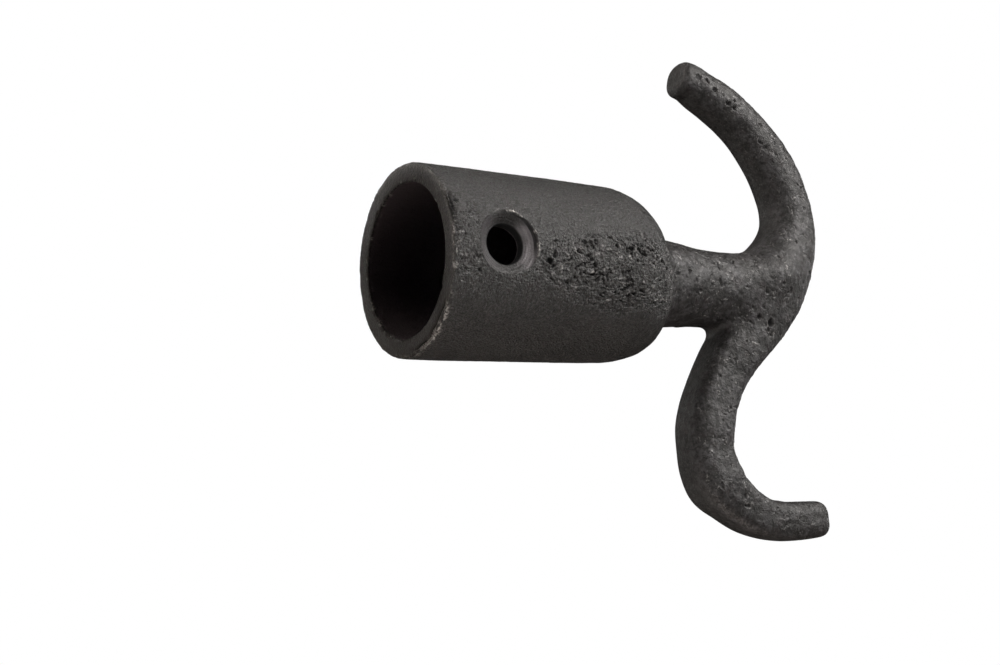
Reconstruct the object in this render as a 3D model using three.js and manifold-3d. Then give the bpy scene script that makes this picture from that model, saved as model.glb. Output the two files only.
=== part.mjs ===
// Window pole hook: a one-piece iron casting that screws on to the end of a wooden pole and opens
// high windows, fanlights and roof hatches. A tapered socket takes the pole, and a short neck
// carries an S-shaped double hook: one arm curls back towards the pole to pull, the other curls
// forward to push. A slotted countersunk wood screw sits in the rear hole of the socket wall.
//
// Frame: millimetres, +Z up along the pole's axis, origin at the centre of the socket's floor,
// where the end of the pole stops. The hook lies in the XZ plane, the pull arm towards -X and the
// push arm towards +X. The front hole faces -Y, the rear hole faces +Y. The parts are built with
// z = 0 at the socket's mouth, and the last group moves them down by the bore's depth.
import * as THREE from "three";
import { mergeVertices } from "three/addons/utils/BufferGeometryUtils.js";
import Module from "manifold-3d";

// ---- socket -----------------------------------------------------------------------------------
const SOCKET_R_MOUTH = 14.0; // outside radius at the mouth
const SOCKET_R_TOP = 13.5; // outside radius at the top of the wall, less by the casting draft
const SOCKET_LENGTH = 33.0; // nominal height of the start of the shoulder
const SOCKET_EDGE = 0.35; // chamfer round the outside of the mouth
// Rounded shoulder, from the top of the wall to inside the neck:
// inset from SOCKET_R_TOP, rise from SOCKET_LENGTH
const SHOULDER = [
  [0, -2.0], [0.15, 0.5], [0.4, 2.0], [0.75, 3.4], [1.25, 4.8], [2.05, 6.1],
  [3.3, 7.3], [4.9, 8.5], [6.3, 9.5], [8.0, 10.3],
];
const LEAN = { x: 0.11, y: 0.05 }; // rise of the shoulder per mm along X and Y
const LEAN_RUN = 9; // height over which the lean grows to its full amount
const SOCKET_SEGMENTS = 72;

const BORE_R_MOUTH = 11.15; // for a 22 mm (7/8 in) pole
const BORE_R_END = 10.75;
const BORE_DEPTH = 34.0;
const BORE_EDGE = 0.3; // chamfer at the mouth
const BORE_CORNER = 2.0; // size of the eased corner at the floor
const BORE_CORNER_MIDDLE = 0.8; // distance of its middle point from wall and floor
const BORE_OVERCUT = 1; // the cutter reaches this far out of the mouth

// ---- cross holes ------------------------------------------------------------------------------
const FRONT_HOLE_Z = 8.9; // staggered, so that two screws pass each other
const REAR_HOLE_Z = 15.0;
const HOLE_R = 2.9;
const HOLE_START = 6; // distance from the axis, inside the bore, where the cutter starts
const SINK_R = 4.65; // countersunk with a 118 degree drill point
const SINK_HALF_ANGLE = THREE.MathUtils.degToRad(59);
const SINK_Y = 13.5; // distance from the axis at which the countersink reaches SINK_R
const SINK_OVERCUT = 3; // straight part of the cutter beyond SINK_Y
const HOLE_SEGMENTS = 36;

// ---- hook -------------------------------------------------------------------------------------
// Stations of each bar along its centreline in the XZ plane:
// x, z, half width in the plane, half thickness along Y

// S-shaped bar, from the pull tip to the push tip
const HOOK_BAR = [
  [-33.7, 53.1, 2.95, 2.97], [-33.2, 54.8, 3.05, 3.08], [-32.1, 56.7, 3.16, 3.24],
  [-30.7, 59.7, 3.37, 3.42], [-28.8, 62.7, 3.42, 3.48], [-26.4, 65.6, 3.48, 3.54],
  [-23.6, 68.2, 3.70, 3.74], [-20.6, 70.3, 3.86, 3.86], [-17.4, 71.8, 3.94, 3.94],
  [-13.9, 72.8, 4.02, 4.02], [-10.4, 72.9, 4.30, 4.30], [-6.9, 71.8, 4.75, 4.80],
  [-3.7, 70.6, 4.90, 5.00], [-0.5, 68.9, 5.00, 5.10], [2.9, 66.4, 5.00, 5.10],
  [6.1, 63.6, 4.90, 5.00], [9.0, 60.8, 4.70, 4.80], [11.9, 58.0, 4.42, 4.60],
  [14.7, 55.8, 4.13, 4.24], [17.4, 54.1, 4.12, 4.21], [20.3, 52.7, 4.15, 4.25],
  [23.3, 51.8, 4.28, 4.33], [26.3, 51.5, 4.16, 4.16], [29.3, 51.9, 4.31, 4.26],
  [32.0, 53.2, 4.36, 4.31], [34.2, 55.7, 3.86, 3.82], [36.2, 58.6, 3.53, 3.48],
  [37.4, 62.0, 3.23, 3.18], [37.9, 65.6, 3.15, 3.15], [37.8, 69.2, 3.11, 3.11],
  [37.7, 72.1, 3.00, 3.00],
];
// Neck, from inside the shoulder to the bar
const NECK = [
  [0.5, 40.0, 7.2, 7.3], [0.6, 43.0, 7.0, 7.1], [0.65, 45.5, 6.8, 6.85],
  [0.7, 47.5, 6.55, 6.6], [0.78, 49.5, 6.3, 6.35], [0.9, 52.0, 6.1, 6.15],
  [0.95, 55.0, 6.05, 6.0], [0.9, 59.0, 5.9, 5.7], [0.6, 63.0, 5.6, 5.3],
  [0.2, 67.0, 4.9, 5.0],
];
// Root of the pull arm, which fills the corner between the neck and the bar
const PULL_ROOT = [
  [0.4, 53.0, 5.9, 5.8], [0.0, 57.0, 5.3, 5.4], [-1.1, 61.5, 4.4, 5.0],
  [-2.8, 65.7, 4.1, 4.8], [-6.6, 69.0, 3.7, 4.5], [-11.0, 71.5, 3.5, 4.0],
];
// Root of the push arm
const PUSH_ROOT = [
  [1.6, 52.5, 5.4, 5.6], [3.4, 56.0, 5.0, 5.3], [6.6, 58.3, 4.7, 5.0], [10.5, 58.0, 4.3, 4.5],
];
// Ellipsoid of metal where neck and arms meet
const KNOT_AT = [2.4, 0, 62.8];
const KNOT_SIZE = [7.4, 5.45, 7.6]; // half axes
const KNOT_SEGMENTS = [28, 18]; // around, pole to pole

// Rounded ends of a bar
const CAP_STEPS = 3;
const CAP_SWEEP = 0.8 * (Math.PI / 2); // a flat facet closes the rest of the quarter turn

// ---- wood screw, 4 x 12 mm, slotted, 90 degree countersunk head -------------------------------
const SCREW_FACE_Y = 13.9; // outer face of the head
const SCREW_HEAD_R = 3.9;
const SCREW_HEAD_RIM = 0.3;
const SCREW_SHANK_R = 2.0;
const SCREW_SHANK_LENGTH = 2.2; // plain part under the head
const SCREW_LENGTH = 12.0;
const SCREW_SLOT_WIDTH = 1.0;
const SCREW_SLOT_DEPTH = 0.95;
const SCREW_SLOT_OVERCUT = 1; // the slot cutter passes the head by this much at each end
const SCREW_SEGMENTS = 32;
const POINT_SIZE = 0.35; // radius and height of the cone at the tip
const THREAD_PITCH = 1.8;
const THREAD_ROOT_R = 1.45;
const THREAD_START = 1.2; // first ridge, from the tip
const THREAD_TAPER = 4.2; // distance from the tip over which the thread grows to full size
const THREAD_RUNOUT = 0.3; // from the root up to the plain shank
const TIP_ROOT_R = 0.55; // thread radii extrapolated to the tip
const TIP_CREST_R = 0.75;

// ---- helpers ----------------------------------------------------------------------------------
const wasm = await Module();
wasm.setup();

function toSolid(geometry) {
  // Seam vertices only merge when nothing but their position is compared.
  geometry.deleteAttribute("normal");
  geometry.deleteAttribute("uv");
  const merged = mergeVertices(geometry, 1e-4);
  return new wasm.Manifold(
    new wasm.Mesh({
      numProp: 3,
      vertProperties: merged.attributes.position.array,
      triVerts: new Uint32Array(merged.index.array),
    }),
  );
}

function toMesh(name, solid, material) {
  const { vertProperties, triVerts } = solid.getMesh();
  const geometry = new THREE.BufferGeometry();
  geometry.setAttribute("position", new THREE.Float32BufferAttribute(vertProperties, 3));
  geometry.setIndex(new THREE.Uint32BufferAttribute(triVerts, 1));
  geometry.computeVertexNormals();
  const mesh = new THREE.Mesh(geometry, material);
  mesh.name = name;
  return mesh;
}

// A body of revolution about +Z from [radius, z] pairs that start and end on the axis.
function turned(profile, segments) {
  const points = profile.map(([radius, z]) => new THREE.Vector2(radius, z));
  return new THREE.LatheGeometry(points, segments).rotateX(Math.PI / 2);
}

// Shrinking rings that round off a bar's end, outwards from the end at t; none if round is 0.
function capRings(t, direction, round) {
  const rings = [];
  for (let k = 1; round && k <= CAP_STEPS; k++) {
    const angle = (k / CAP_STEPS) * CAP_SWEEP;
    rings.push({
      t,
      scale: 1 - round * (1 - Math.cos(angle)),
      shift: direction * round * Math.sin(angle),
    });
  }
  return rings;
}

// A closed bar whose section varies along a centreline in the XZ plane. The section is a
// superellipse: power 2 gives an ellipse, and more makes it squarer. roundStart and roundEnd are
// the lengths of the rounded ends before CAP_SWEEP trims them, as shares of the half width.
function bar(stations, { steps, sides, power, roundStart = 0, roundEnd = 0 }) {
  const centreline = new THREE.CatmullRomCurve3(
    stations.map(([x, z]) => new THREE.Vector3(x, 0, z)),
  );
  const sizes = new THREE.CatmullRomCurve3(
    stations.map(([, , halfWidth, halfThickness]) =>
      new THREE.Vector3(halfWidth, halfThickness, 0)),
  );
  const rings = capRings(0, -1, roundStart).reverse();
  for (let i = 0; i <= steps; i++) rings.push({ t: i / steps, scale: 1, shift: 0 });
  rings.push(...capRings(1, 1, roundEnd));

  const ringPoints = rings.map(({ t, scale, shift }) => {
    const tangent = centreline.getTangent(t);
    const size = sizes.getPoint(t);
    const centre = centreline.getPoint(t).addScaledVector(tangent, shift * size.x);
    const across = new THREE.Vector3(-tangent.z, 0, tangent.x);
    return Array.from({ length: sides }, (_, j) => {
      const angle = (2 * Math.PI * (j + 0.5)) / sides;
      const cos = Math.cos(angle);
      const sin = Math.sin(angle);
      const radius = (Math.abs(cos) ** power + Math.abs(sin) ** power) ** (-1 / power);
      const point = centre.clone().addScaledVector(across, radius * cos * size.x * scale);
      point.y += radius * sin * size.y * scale;
      return point;
    });
  });
  const middle = (ring) =>
    ring.reduce((sum, point) => sum.add(point), new THREE.Vector3()).divideScalar(sides);
  const points = [...ringPoints.flat(), middle(ringPoints[0]), middle(ringPoints.at(-1))];

  const lastRing = (rings.length - 1) * sides;
  const startCentre = rings.length * sides;
  const endCentre = startCentre + 1;
  const index = [];
  for (let base = 0; base < lastRing; base += sides)
    for (let j = 0; j < sides; j++) {
      const here = base + j;
      const beside = base + ((j + 1) % sides);
      index.push(here, here + sides, beside);
      index.push(beside, here + sides, beside + sides);
    }
  for (let j = 0; j < sides; j++) {
    const next = (j + 1) % sides;
    index.push(startCentre, j, next);
    index.push(endCentre, lastRing + next, lastRing + j);
  }
  const geometry = new THREE.BufferGeometry().setFromPoints(points);
  geometry.setIndex(index);
  return toSolid(geometry);
}

// ---- the casting ------------------------------------------------------------------------------
// Socket outside. The shoulder leans a little, because the two halves of the mould never meet
// exactly.
function socketShell() {
  const shoulder = SHOULDER.map(([inset, rise]) => [SOCKET_R_TOP - inset, SOCKET_LENGTH + rise]);
  const wallTop = shoulder[0][1];
  const geometry = turned(
    [
      [0, 0],
      [SOCKET_R_MOUTH - SOCKET_EDGE, 0],
      [SOCKET_R_MOUTH, SOCKET_EDGE],
      ...shoulder,
      [0, shoulder.at(-1)[1]],
    ],
    SOCKET_SEGMENTS,
  );
  const points = geometry.getAttribute("position");
  for (let i = 0; i < points.count; i++) {
    const z = points.getZ(i);
    const share = THREE.MathUtils.clamp((z - wallTop) / LEAN_RUN, 0, 1);
    points.setZ(i, z + share * (LEAN.x * points.getX(i) + LEAN.y * points.getY(i)));
  }
  return toSolid(geometry);
}

function boreCutter() {
  const profile = [
    [0, -BORE_OVERCUT],
    [BORE_R_MOUTH + BORE_EDGE, -BORE_OVERCUT],
    [BORE_R_MOUTH + BORE_EDGE, 0],
    [BORE_R_MOUTH, BORE_EDGE],
    [BORE_R_END, BORE_DEPTH - BORE_CORNER],
    [BORE_R_END - BORE_CORNER_MIDDLE, BORE_DEPTH - BORE_CORNER_MIDDLE],
    [BORE_R_END - BORE_CORNER, BORE_DEPTH],
    [0, BORE_DEPTH],
  ];
  return toSolid(turned(profile, SOCKET_SEGMENTS));
}

// Cutter for a countersunk hole, outwards from inside the bore; direction is +1 for +Y, -1 for -Y.
function holeCutter(direction, z) {
  const sinkFloor = SINK_Y - (SINK_R - HOLE_R) / Math.tan(SINK_HALF_ANGLE);
  const profile = [
    [0, HOLE_START],
    [HOLE_R, HOLE_START],
    [HOLE_R, sinkFloor],
    [SINK_R, SINK_Y],
    [SINK_R, SINK_Y + SINK_OVERCUT],
    [0, SINK_Y + SINK_OVERCUT],
  ];
  const geometry = turned(profile, HOLE_SEGMENTS);
  geometry.rotateX((-direction * Math.PI) / 2);
  geometry.translate(0, 0, z);
  return toSolid(geometry);
}

function knot() {
  const geometry = new THREE.SphereGeometry(1, ...KNOT_SEGMENTS);
  geometry.scale(...KNOT_SIZE);
  geometry.translate(...KNOT_AT);
  return toSolid(geometry);
}

function hookCasting() {
  return socketShell()
    .add(knot())
    .add(bar(NECK, { steps: 14, sides: 24, power: 2.0 }))
    .add(bar(HOOK_BAR, { steps: 46, sides: 20, power: 2.5, roundStart: 0.5, roundEnd: 0.8 }))
    .add(bar(PULL_ROOT, { steps: 10, sides: 20, power: 2.3 }))
    .add(bar(PUSH_ROOT, { steps: 8, sides: 20, power: 2.3 }))
    .subtract(boreCutter())
    .subtract(holeCutter(1, REAR_HOLE_Z))
    .subtract(holeCutter(-1, FRONT_HOLE_Z));
}

// ---- the wood screw ---------------------------------------------------------------------------
// Modelled along Z, point down, with the head's outer face at z = 0.
function woodScrew() {
  const headFloor = -SCREW_HEAD_RIM - (SCREW_HEAD_R - SCREW_SHANK_R);
  const threadEnd = headFloor - SCREW_SHANK_LENGTH;
  const profile = [
    [0, -SCREW_LENGTH],
    [POINT_SIZE, -SCREW_LENGTH + POINT_SIZE],
  ];
  // Ridges of the tapered thread, as plain rings, from the point up to the shank
  let z = -SCREW_LENGTH + THREAD_START;
  for (; z + THREAD_PITCH < threadEnd; z += THREAD_PITCH) {
    const share = Math.min(1, (z + SCREW_LENGTH) / THREAD_TAPER);
    const root = THREE.MathUtils.lerp(TIP_ROOT_R, THREAD_ROOT_R, share);
    const crest = THREE.MathUtils.lerp(TIP_CREST_R, SCREW_SHANK_R, share);
    profile.push(
      [root, z],
      [crest, z + THREAD_PITCH * 0.4],
      [crest, z + THREAD_PITCH * 0.5],
      [root, z + THREAD_PITCH * 0.9],
    );
  }
  profile.push(
    [THREAD_ROOT_R, threadEnd - THREAD_RUNOUT],
    [SCREW_SHANK_R, threadEnd],
    [SCREW_SHANK_R, headFloor],
    [SCREW_HEAD_R, -SCREW_HEAD_RIM],
    [SCREW_HEAD_R, 0],
    [0, 0],
  );
  const slotCutter = new THREE.BoxGeometry(
    SCREW_SLOT_WIDTH,
    2 * (SCREW_HEAD_R + SCREW_SLOT_OVERCUT),
    2 * SCREW_SLOT_DEPTH,
  );
  return toSolid(turned(profile, SCREW_SEGMENTS)).subtract(toSolid(slotCutter));
}

// ---- materials and assembly -------------------------------------------------------------------
const castIron = new THREE.MeshStandardMaterial({
  name: "black_cast_iron",
  color: 0x2b2a29,
  roughness: 0.62,
  metalness: 0.35,
});
const blackSteel = new THREE.MeshStandardMaterial({
  name: "blackened_steel",
  color: 0x343332,
  roughness: 0.45,
  metalness: 0.8,
});

const fixingScrew = toMesh("fixing_screw", woodScrew(), blackSteel);
fixingScrew.rotation.x = -Math.PI / 2; // the head's outer face looks along +Y
fixingScrew.position.set(0, SCREW_FACE_Y, REAR_HOLE_Z);

const fromMouth = new THREE.Group();
fromMouth.add(toMesh("hook_casting", hookCasting(), castIron), fixingScrew);
fromMouth.position.z = -BORE_DEPTH;

const windowPoleHook = new THREE.Group();
windowPoleHook.add(fromMouth);
export default windowPoleHook;
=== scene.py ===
# A one-piece cast iron window pole hook with its wood screw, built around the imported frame.
#
# The casting and the screw are each described as a signed distance in millimetres, meshed with surface
# nets, subdivided once and pulled on to the exact surface. The sand-cast grain, pits, chips and the
# mould's parting line are part of that surface, so they are real geometry. Everything finer than about
# 0.2 mm is bump in the materials.
#
# Inside this script lengths are millimetres from the centre of the socket's mouth, +Z towards the hook.
import math

import bpy
import numpy as np
from mathutils import Matrix, Vector


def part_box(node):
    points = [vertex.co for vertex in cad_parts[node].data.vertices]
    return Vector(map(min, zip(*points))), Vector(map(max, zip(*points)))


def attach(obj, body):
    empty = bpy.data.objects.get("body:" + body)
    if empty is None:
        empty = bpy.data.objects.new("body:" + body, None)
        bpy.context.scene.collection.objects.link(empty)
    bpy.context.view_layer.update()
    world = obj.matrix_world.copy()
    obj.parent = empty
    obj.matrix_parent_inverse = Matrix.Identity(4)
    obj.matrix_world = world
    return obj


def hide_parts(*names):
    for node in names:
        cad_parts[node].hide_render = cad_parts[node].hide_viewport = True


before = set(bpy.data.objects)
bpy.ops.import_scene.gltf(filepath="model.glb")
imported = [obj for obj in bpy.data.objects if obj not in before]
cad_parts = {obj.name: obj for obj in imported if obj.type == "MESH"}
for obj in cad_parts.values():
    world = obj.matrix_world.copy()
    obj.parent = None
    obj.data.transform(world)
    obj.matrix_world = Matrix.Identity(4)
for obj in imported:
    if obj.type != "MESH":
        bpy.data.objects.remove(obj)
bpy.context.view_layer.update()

cast_lo, cast_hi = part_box("hook_casting")
screw_lo, screw_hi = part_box("fixing_screw")
MOUTH_Z = cast_lo.z * 1000.0  # the mouth's height in the frame
FACE_Y = screw_hi.y * 1000.0  # outer face of the screw's head
SCREW_Z = (screw_lo.z + screw_hi.z) * 500.0 - MOUTH_Z
SCREW_X = (screw_lo.x + screw_hi.x) * 500.0

# ---- noise ----------------------------------------------------------------------------------------------


def hashed(ix, iy, iz, seed):
    h = (
        ix.astype(np.int64) * 73856093
        ^ iy.astype(np.int64) * 19349663
        ^ iz.astype(np.int64) * 83492791
        ^ int(seed) * 40503957
    ) & 0xFFFFFFFF
    h = h.astype(np.uint64)
    h = (h ^ (h >> np.uint64(16))) * np.uint64(0x7FEB352D) & np.uint64(0xFFFFFFFF)
    h = (h ^ (h >> np.uint64(15))) * np.uint64(0x846CA68B) & np.uint64(0xFFFFFFFF)
    h = h ^ (h >> np.uint64(16))
    return h.astype(np.float64) / 4294967295.0


def noise(P, size, seed):
    """Smooth noise from -1 to 1 with features of about that size, in mm."""
    q = P / size + 17.3 * seed
    i = np.floor(q).astype(np.int64)
    f = q - i
    u = f * f * f * (f * (f * 6 - 15) + 10)
    out = np.zeros(len(P))
    for dx in (0, 1):
        wx = u[:, 0] if dx else 1 - u[:, 0]
        for dy in (0, 1):
            wy = u[:, 1] if dy else 1 - u[:, 1]
            for dz in (0, 1):
                wz = u[:, 2] if dz else 1 - u[:, 2]
                out += (
                    wx
                    * wy
                    * wz
                    * hashed(i[:, 0] + dx, i[:, 1] + dy, i[:, 2] + dz, seed)
                )
    return out * 2 - 1


def fractal(P, size, octaves, seed):
    out, scale, total = np.zeros(len(P)), 1.0, 0.0
    for k in range(octaves):
        out += noise(P, size / 2**k, seed + k) * scale
        total += scale
        scale *= 0.55
    return out / total


def dents(P, size, cover, seed, brim=False):
    """Depth from 0 to 1 of ragged hollows about that size in mm, over the given share (0 to 1) of the surface.
    With brim, also the narrow strip along their edges, which is given a painted highlight."""
    n = 0.7 * noise(P, size, seed) + 0.42 * noise(P, size * 0.47, seed + 7) - (0.86 - 0.78 * cover)
    deep = np.clip(n, 0, 0.6) / 0.6
    return (deep, np.clip(1 - np.abs(n + 0.07) / 0.08, 0, 1)) if brim else deep


def grains(P, size, seed):
    """Sand grains about that size in mm: distance to the nearest grain's centre and to the next one, over the
    size, and a number from 0 to 1 that belongs to the nearest grain."""
    q = P / size + 11.7 * seed
    cell = np.floor(q).astype(np.int64)
    first, second, own = np.full(len(P), 9.0), np.full(len(P), 9.0), np.zeros(len(P))
    for dx in (-1, 0, 1):
        for dy in (-1, 0, 1):
            for dz in (-1, 0, 1):
                i, j, k = cell[:, 0] + dx, cell[:, 1] + dy, cell[:, 2] + dz
                a = hashed(i, j, k, seed) - 0.5
                b = hashed(i, j, k, seed + 1) - 0.5
                c = hashed(i, j, k, seed + 2) - 0.5
                d = np.sqrt(
                    (q[:, 0] - i - 0.5 - 0.85 * a) ** 2
                    + (q[:, 1] - j - 0.5 - 0.85 * b) ** 2
                    + (q[:, 2] - k - 0.5 - 0.85 * c) ** 2
                )
                closer = d < first
                second = np.where(closer, first, np.minimum(second, d))
                own = np.where(closer, hashed(i, j, k, seed + 3), own)
                first = np.where(closer, d, first)
    return first, second, own


def crust(P, size, seed, sunk):
    """Depth in mm of a crust of sand grains, some of them (the share sunk) pulled out, with how deep and how
    proud each point is from 0 to 1."""
    first, second, own = grains(P, size, seed)
    crevice = 1 - step(second - first, 0.02, 0.3)
    hole = step(sunk - own, 0.0, 0.05) * step(second - first, 0.02, 0.16)
    depth = (0.5 - own) * 0.19 + 0.05 * crevice + 0.14 * first**2 + hole * (0.17 + 0.25 * (sunk - own) / np.maximum(sunk, 0.05))
    return depth, np.clip(0.85 * hole + 0.15 * crevice, 0, 1), (1 - 0.7 * crevice) * step(own, 0.5, 0.75) * (1 - step(first, 0.45, 0.75))


# ---- distance fields --------------------------------------------------------------------------------------


def round_union(a, b, r):
    return np.maximum(np.minimum(a, b), r) - np.hypot(
        np.maximum(r - a, 0), np.maximum(r - b, 0)
    )


def round_cut(a, b, r):
    """The solid in both a and b, its new edge rounded to radius r."""
    return np.minimum(np.maximum(a, b), -r) + np.hypot(
        np.maximum(a + r, 0), np.maximum(b + r, 0)
    )


def step(v, lo, hi):
    t = np.clip((v - lo) / (hi - lo), 0, 1)
    return t * t * (3 - 2 * t)


def polygon_table(points, r_max, z_lo, z_hi, pitch):
    """Signed distance to a closed (r, z) outline on a regular table, negative inside."""
    rs = np.arange(0, r_max + pitch, pitch)
    zs = np.arange(z_lo, z_hi + pitch, pitch)
    R, Z = np.meshgrid(rs, zs, indexing="ij")
    best = np.full(R.shape, 1e9)
    inside = np.zeros(R.shape, bool)
    n = len(points)
    for k in range(n):
        (ax, az), (bx, bz) = points[k], points[(k + 1) % n]
        ex, ez = bx - ax, bz - az
        length = ex * ex + ez * ez
        if length < 1e-12:
            continue
        crosses = (az > Z) != (bz > Z)
        if abs(ez) > 1e-12:
            inside ^= crosses & (R < ex * (Z - az) / ez + ax)
        if abs(ax) < 1e-9 and abs(bx) < 1e-9:
            continue  # the stretch along the axis isn't a surface
        t = np.clip(((R - ax) * ex + (Z - az) * ez) / length, 0, 1)
        best = np.minimum(best, (R - ax - t * ex) ** 2 + (Z - az - t * ez) ** 2)
    table = np.sqrt(best)
    table[inside] *= -1
    return table, 0.0, z_lo, pitch


def look_up(table, u, v):
    values, u0, v0, pitch = table
    a = np.clip((u - u0) / pitch, 0, values.shape[0] - 1.001)
    b = np.clip((v - v0) / pitch, 0, values.shape[1] - 1.001)
    i, j = a.astype(np.int64), b.astype(np.int64)
    a, b = a - i, b - j
    return (
        values[i, j] * (1 - a) * (1 - b)
        + values[i + 1, j] * a * (1 - b)
        + values[i, j + 1] * (1 - a) * b
        + values[i + 1, j + 1] * a * b
    )


def spline(stations, samples):
    """Catmull-Rom through the stations' rows, by chord length."""
    S = np.array(stations, float)
    chord = np.r_[0, np.cumsum(np.hypot(np.diff(S[:, 0]), np.diff(S[:, 1])))]
    slopes = np.zeros_like(S)
    slopes[1:-1] = (S[2:] - S[:-2]) / (chord[2:] - chord[:-2])[:, None]
    slopes[0] = (S[1] - S[0]) / (chord[1] - chord[0])
    slopes[-1] = (S[-1] - S[-2]) / (chord[-1] - chord[-2])
    at = np.linspace(0, chord[-1], samples)
    k = np.clip(np.searchsorted(chord, at, side="right") - 1, 0, len(S) - 2)
    w = chord[k + 1] - chord[k]
    t = ((at - chord[k]) / w)[:, None]
    w = w[:, None]
    return (
        (2 * t**3 - 3 * t**2 + 1) * S[k]
        + (t**3 - 2 * t**2 + t) * w * slopes[k]
        + (-2 * t**3 + 3 * t**2) * S[k + 1]
        + (t**3 - t**2) * w * slopes[k + 1]
    )


# ---- the casting ------------------------------------------------------------------------------------------

BORE_DEPTH = 34.0
HOLE_R, SINK_R, SINK_Y = 2.9, 4.65, 13.5
FRONT_HOLE_Z = 8.9
LEAN = (0.11, 0.05)

SOCKET = [
    (0, 0), (13.66, 0), (13.78, 0.03), (13.9, 0.1), (13.97, 0.2), (14.0, 0.35), (13.8, 16.0),
    (13.46, 31.0), (13.35, 33.5), (13.1, 35.0), (12.75, 36.4), (12.25, 37.8), (11.45, 39.1),
    (10.2, 40.3), (8.6, 41.4), (7.2, 42.2), (5.5, 43.0), (0, 43.0),
]  # fmt: skip
BORE = [
    (0, -3), (11.2, -3), (11.15, 0.3), (10.75, 32.0), (10.6, 32.7), (9.95, 33.4), (9.3, 33.8), (8.75, 34.0), (0, 34.0),
]  # fmt: skip

# Centreline of the S-shaped bar: x, z, half width, half thickness along Y, and the section's power: the pull
# arm is rounder (2.4), the push arm squarer (3.4).
BAR = [
    (-33.7, 53.1, 2.95, 2.97, 2.4), (-33.2, 54.8, 3.05, 3.08, 2.4), (-32.1, 56.7, 3.16, 3.24, 2.4),
    (-30.7, 59.7, 3.37, 3.42, 2.4), (-28.8, 62.7, 3.42, 3.48, 2.4), (-26.4, 65.6, 3.48, 3.54, 2.4),
    (-23.6, 68.2, 3.70, 3.74, 2.4), (-20.6, 70.3, 3.86, 3.86, 2.4), (-17.4, 71.8, 3.96, 3.96, 2.4),
    (-13.9, 72.8, 4.06, 4.06, 2.4), (-10.36, 72.87, 4.31, 4.31, 2.4), (-6.87, 71.83, 4.74, 4.79, 2.45),
    (-3.71, 70.62, 4.86, 4.96, 2.5), (-0.5, 68.87, 4.96, 5.05, 2.6), (2.89, 66.43, 4.93, 5.03, 2.7),
    (6.05, 63.56, 4.79, 4.89, 2.85), (8.98, 60.78, 4.44, 4.65, 3.1), (11.85, 58.0, 4.13, 4.41, 3.3),
    (14.66, 55.76, 3.92, 4.03, 3.4), (17.44, 54.08, 3.89, 3.97, 3.4), (20.29, 52.66, 3.9, 4.0, 3.4),
    (23.29, 51.82, 4.01, 4.06, 3.4), (26.3, 51.53, 3.9, 3.9, 3.4), (29.26, 51.91, 4.04, 4.0, 3.4),
    (32.03, 53.21, 4.1, 4.06, 3.4), (34.24, 55.67, 3.66, 3.62, 3.2), (36.17, 58.62, 3.36, 3.32, 3.2),
    (37.38, 61.95, 3.1, 3.05, 3.2), (37.86, 65.6, 3.05, 3.05, 3.2), (37.83, 69.2, 3.03, 3.03, 3.2),
    (37.7, 72.1, 2.93, 2.93, 3.2),
]  # fmt: skip
# Neck: z, x of its centre, half width, half thickness.
NECK = np.array([
    (36.0, 0.5, 7.2, 7.3), (43.0, 0.6, 6.95, 7.0), (45.5, 0.65, 6.75, 6.8), (47.5, 0.7, 6.55, 6.6),
    (49.5, 0.78, 6.3, 6.35), (52.0, 0.9, 6.1, 6.1), (55.0, 0.95, 6.05, 6.0), (59.0, 0.9, 6.0, 5.7),
    (63.0, 0.8, 5.7, 5.4), (70.0, 0.2, 5.0, 5.0),
])  # fmt: skip

socket_table = polygon_table(SOCKET, 48, -4, 82, 0.1)
bore_table = polygon_table(BORE, 48, -4, 82, 0.1)


def bar_tables():
    line = spline(BAR, 260)
    pitch = 0.25
    xs = np.arange(-42, 46, pitch)
    zs = np.arange(-4, 84, pitch)
    X, Z = np.meshgrid(xs, zs, indexing="ij")
    flat = np.stack([X.ravel(), Z.ravel()], 1)
    a, b = line[:-1, :2], line[1:, :2]
    e = b - a
    ee = (e * e).sum(1)
    out = np.zeros((len(flat), 5))
    for s in range(0, len(flat), 8000):
        p = flat[s : s + 8000]
        d = p[:, None, :] - a[None]
        t = np.clip((d * e[None]).sum(2) / ee[None], 0, 1)
        gap = d - t[:, :, None] * e[None]
        k = (gap * gap).sum(2).argmin(1)
        n = np.arange(len(p))
        tk = t[n, k]
        unit = e[k] / np.sqrt(ee[k])[:, None]
        start = (k == 0) & (tk <= 0)
        end = (k == len(a) - 1) & (tk >= 1)
        off = d[n, k, 1] * unit[:, 0] - d[n, k, 0] * unit[:, 1]  # signed, to the left of travel
        beyond = np.where(
            start,
            -(d[n, k] * unit).sum(1),
            np.where(end, ((p - b[-1]) * unit).sum(1), -20.0),
        )
        # Along the first and last stretch the distance back from the end keeps the table continuous.
        along = np.concatenate([[0], np.cumsum(np.sqrt(ee))])
        at = along[k] + tk * np.sqrt(ee[k])
        beyond = np.where(start | end, beyond, -np.minimum(at, along[-1] - at))
        half = line[k, 2:5] + tk[:, None] * (line[k + 1, 2:5] - line[k, 2:5])
        gapk = gap[n, k]
        size = np.sqrt((gapk * gapk).sum(1))
        off = np.where(start | end, off, np.sign(off) * size)
        out[s : s + 8000] = np.stack([off, half[:, 0], half[:, 1], beyond, half[:, 2]], 1)
    return [
        (out[:, c].reshape(X.shape), xs[0], zs[0], pitch) for c in range(5)
    ]


bar_off, bar_a, bar_b, bar_beyond, bar_power = bar_tables()


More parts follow.
